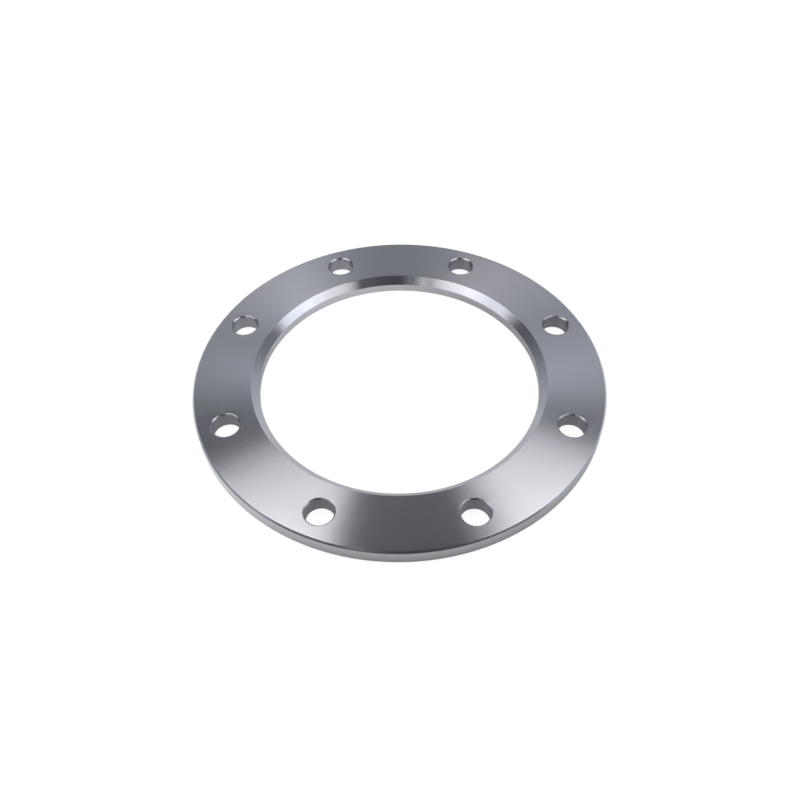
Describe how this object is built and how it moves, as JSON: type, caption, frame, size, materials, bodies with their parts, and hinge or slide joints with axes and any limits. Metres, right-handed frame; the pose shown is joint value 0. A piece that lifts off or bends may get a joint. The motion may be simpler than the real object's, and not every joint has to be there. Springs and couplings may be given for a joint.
{
  "type": "plate flange",
  "caption": "Flat round steel plate flange with a wide bevelled bore and a circle of chamfered bolt holes.",
  "frame": {"origin": "centre of the bore in the plane of the plain back face, which is the face that it rests on", "axes": "+Z along the bore axis, from the plain back face to the bevelled front face; the X and Y axes pass midway between neighbouring bolt holes"},
  "size_m": [0.34, 0.34, 0.014],
  "materials": {
    "turned_steel": "bright turned steel with fine round tool marks on the face, bevel and rim"
  },
  "bodies": {
    "root": {"plate_flange": "turned_steel"}
  },
  "joints": []
}
